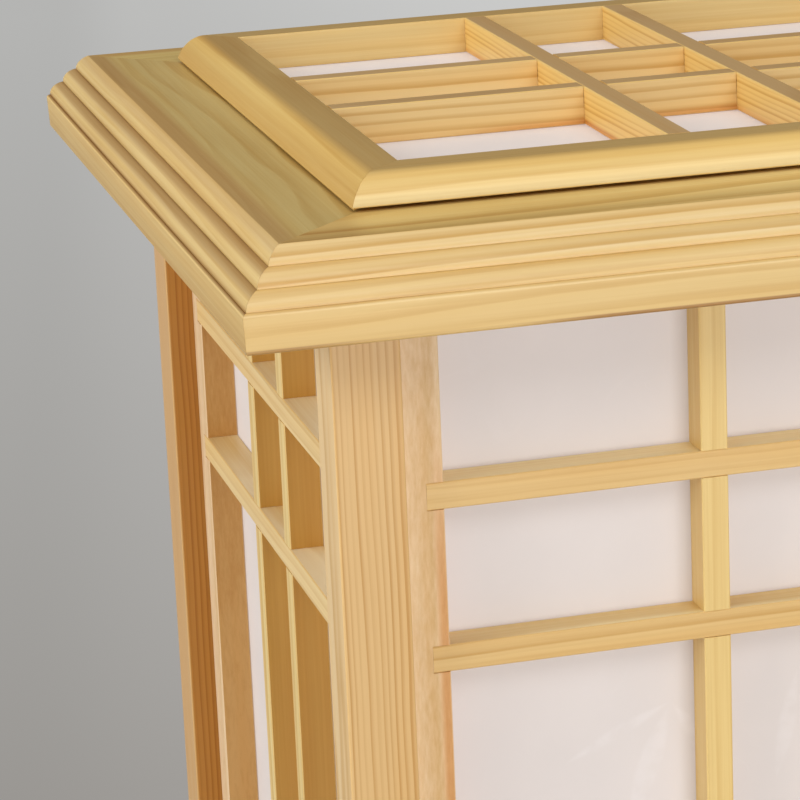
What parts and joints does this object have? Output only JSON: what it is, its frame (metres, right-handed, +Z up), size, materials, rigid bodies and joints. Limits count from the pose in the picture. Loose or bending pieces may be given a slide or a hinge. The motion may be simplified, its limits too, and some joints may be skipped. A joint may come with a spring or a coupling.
{
  "type": "lantern table lamp",
  "caption": "Square pine lantern lamp with a moulded cap and base, corner posts, lattice panels lined with parchment, a lift-off lattice lid and a screw-in bulb.",
  "frame": {"origin": "on the table, under the middle of the square base", "axes": "+Z up, front panel towards -Y, cable inlet towards +Y"},
  "size_m": [0.282, 0.282, 0.4574],
  "materials": {
    "pine_base": "satin lacquer",
    "pine_cap": "satin lacquer",
    "pine_lid": "satin lacquer",
    "pine_bars": "satin lacquer",
    "pine_post": "satin lacquer",
    "parchment": "matte, translucent",
    "plywood": "raw",
    "black_plastic": "matte",
    "black_rubber": "matte",
    "opal_glass": "opal, smooth",
    "cap_metal": "plated, bright",
    "contact_metal": "plain"
  },
  "bodies": {
    "lamp": {"base_back": "pine_base", "base_board": "plywood", "base_front": "pine_base", "base_left": "pine_base", "base_right": "pine_base", "cable_grommet": "black_rubber", "cap_back": "pine_cap", "cap_front": "pine_cap", "cap_left": "pine_cap", "cap_right": "pine_cap", "crossbar_back_1": "pine_bars", "crossbar_back_2": "pine_bars", "crossbar_back_3": "pine_bars", "crossbar_back_4": "pine_bars", "crossbar_front_1": "pine_bars", "crossbar_front_2": "pine_bars", "crossbar_front_3": "pine_bars", "crossbar_front_4": "pine_bars", "crossbar_left_1": "pine_bars", "crossbar_left_2": "pine_bars", "crossbar_left_3": "pine_bars", "crossbar_left_4": "pine_bars", "crossbar_right_1": "pine_bars", "crossbar_right_2": "pine_bars", "crossbar_right_3": "pine_bars", "crossbar_right_4": "pine_bars", "lampholder": "black_plastic", "paper_lining": "parchment", "post_back_left": "pine_post", "post_back_right": "pine_post", "post_front_left": "pine_post", "post_front_right": "pine_post", "stile_back_1": "pine_bars", "stile_back_2": "pine_bars", "stile_front_1": "pine_bars", "stile_front_2": "pine_bars", "stile_left_1": "pine_bars", "stile_left_2": "pine_bars", "stile_right_1": "pine_bars", "stile_right_2": "pine_bars", "upright_back_1": "pine_bars", "upright_back_2": "pine_bars", "upright_front_1": "pine_bars", "upright_front_2": "pine_bars", "upright_left_1": "pine_bars", "upright_left_2": "pine_bars", "upright_right_1": "pine_bars", "upright_right_2": "pine_bars"},
    "lid": {"lid_bar_across_1": "pine_lid", "lid_bar_across_2": "pine_lid", "lid_bar_deep_1": "pine_lid", "lid_bar_deep_2": "pine_lid", "lid_rail_back": "pine_lid", "lid_rail_front": "pine_lid", "lid_rail_left": "pine_lid", "lid_rail_right": "pine_lid", "lid_sheet": "parchment"},
    "bulb_carrier": {"bulb_contact": "contact_metal"},
    "bulb": {"bulb_cap": "cap_metal", "bulb_glass": "opal_glass"}
  },
  "joints": [
    {"name": "lid_lift", "type": "slide", "parent": "lamp", "child": "lid", "axis": [0, 0, 1], "range_m": [0, 0.15]},
    {"name": "bulb_rise", "type": "slide", "parent": "lamp", "child": "bulb_carrier", "axis": [0, 0, 1], "range_m": [0, 0.01452]},
    {"name": "bulb_turn", "type": "hinge", "parent": "bulb_carrier", "child": "bulb", "pos_m": [0, 0, 0.06], "axis": [0, 0, 1], "range_deg": [0, 1440]}
  ],
  "couplings": [
    {"joint": "bulb_rise", "follows": "bulb_turn", "m_per_rad": 0.00057757}
  ]
}
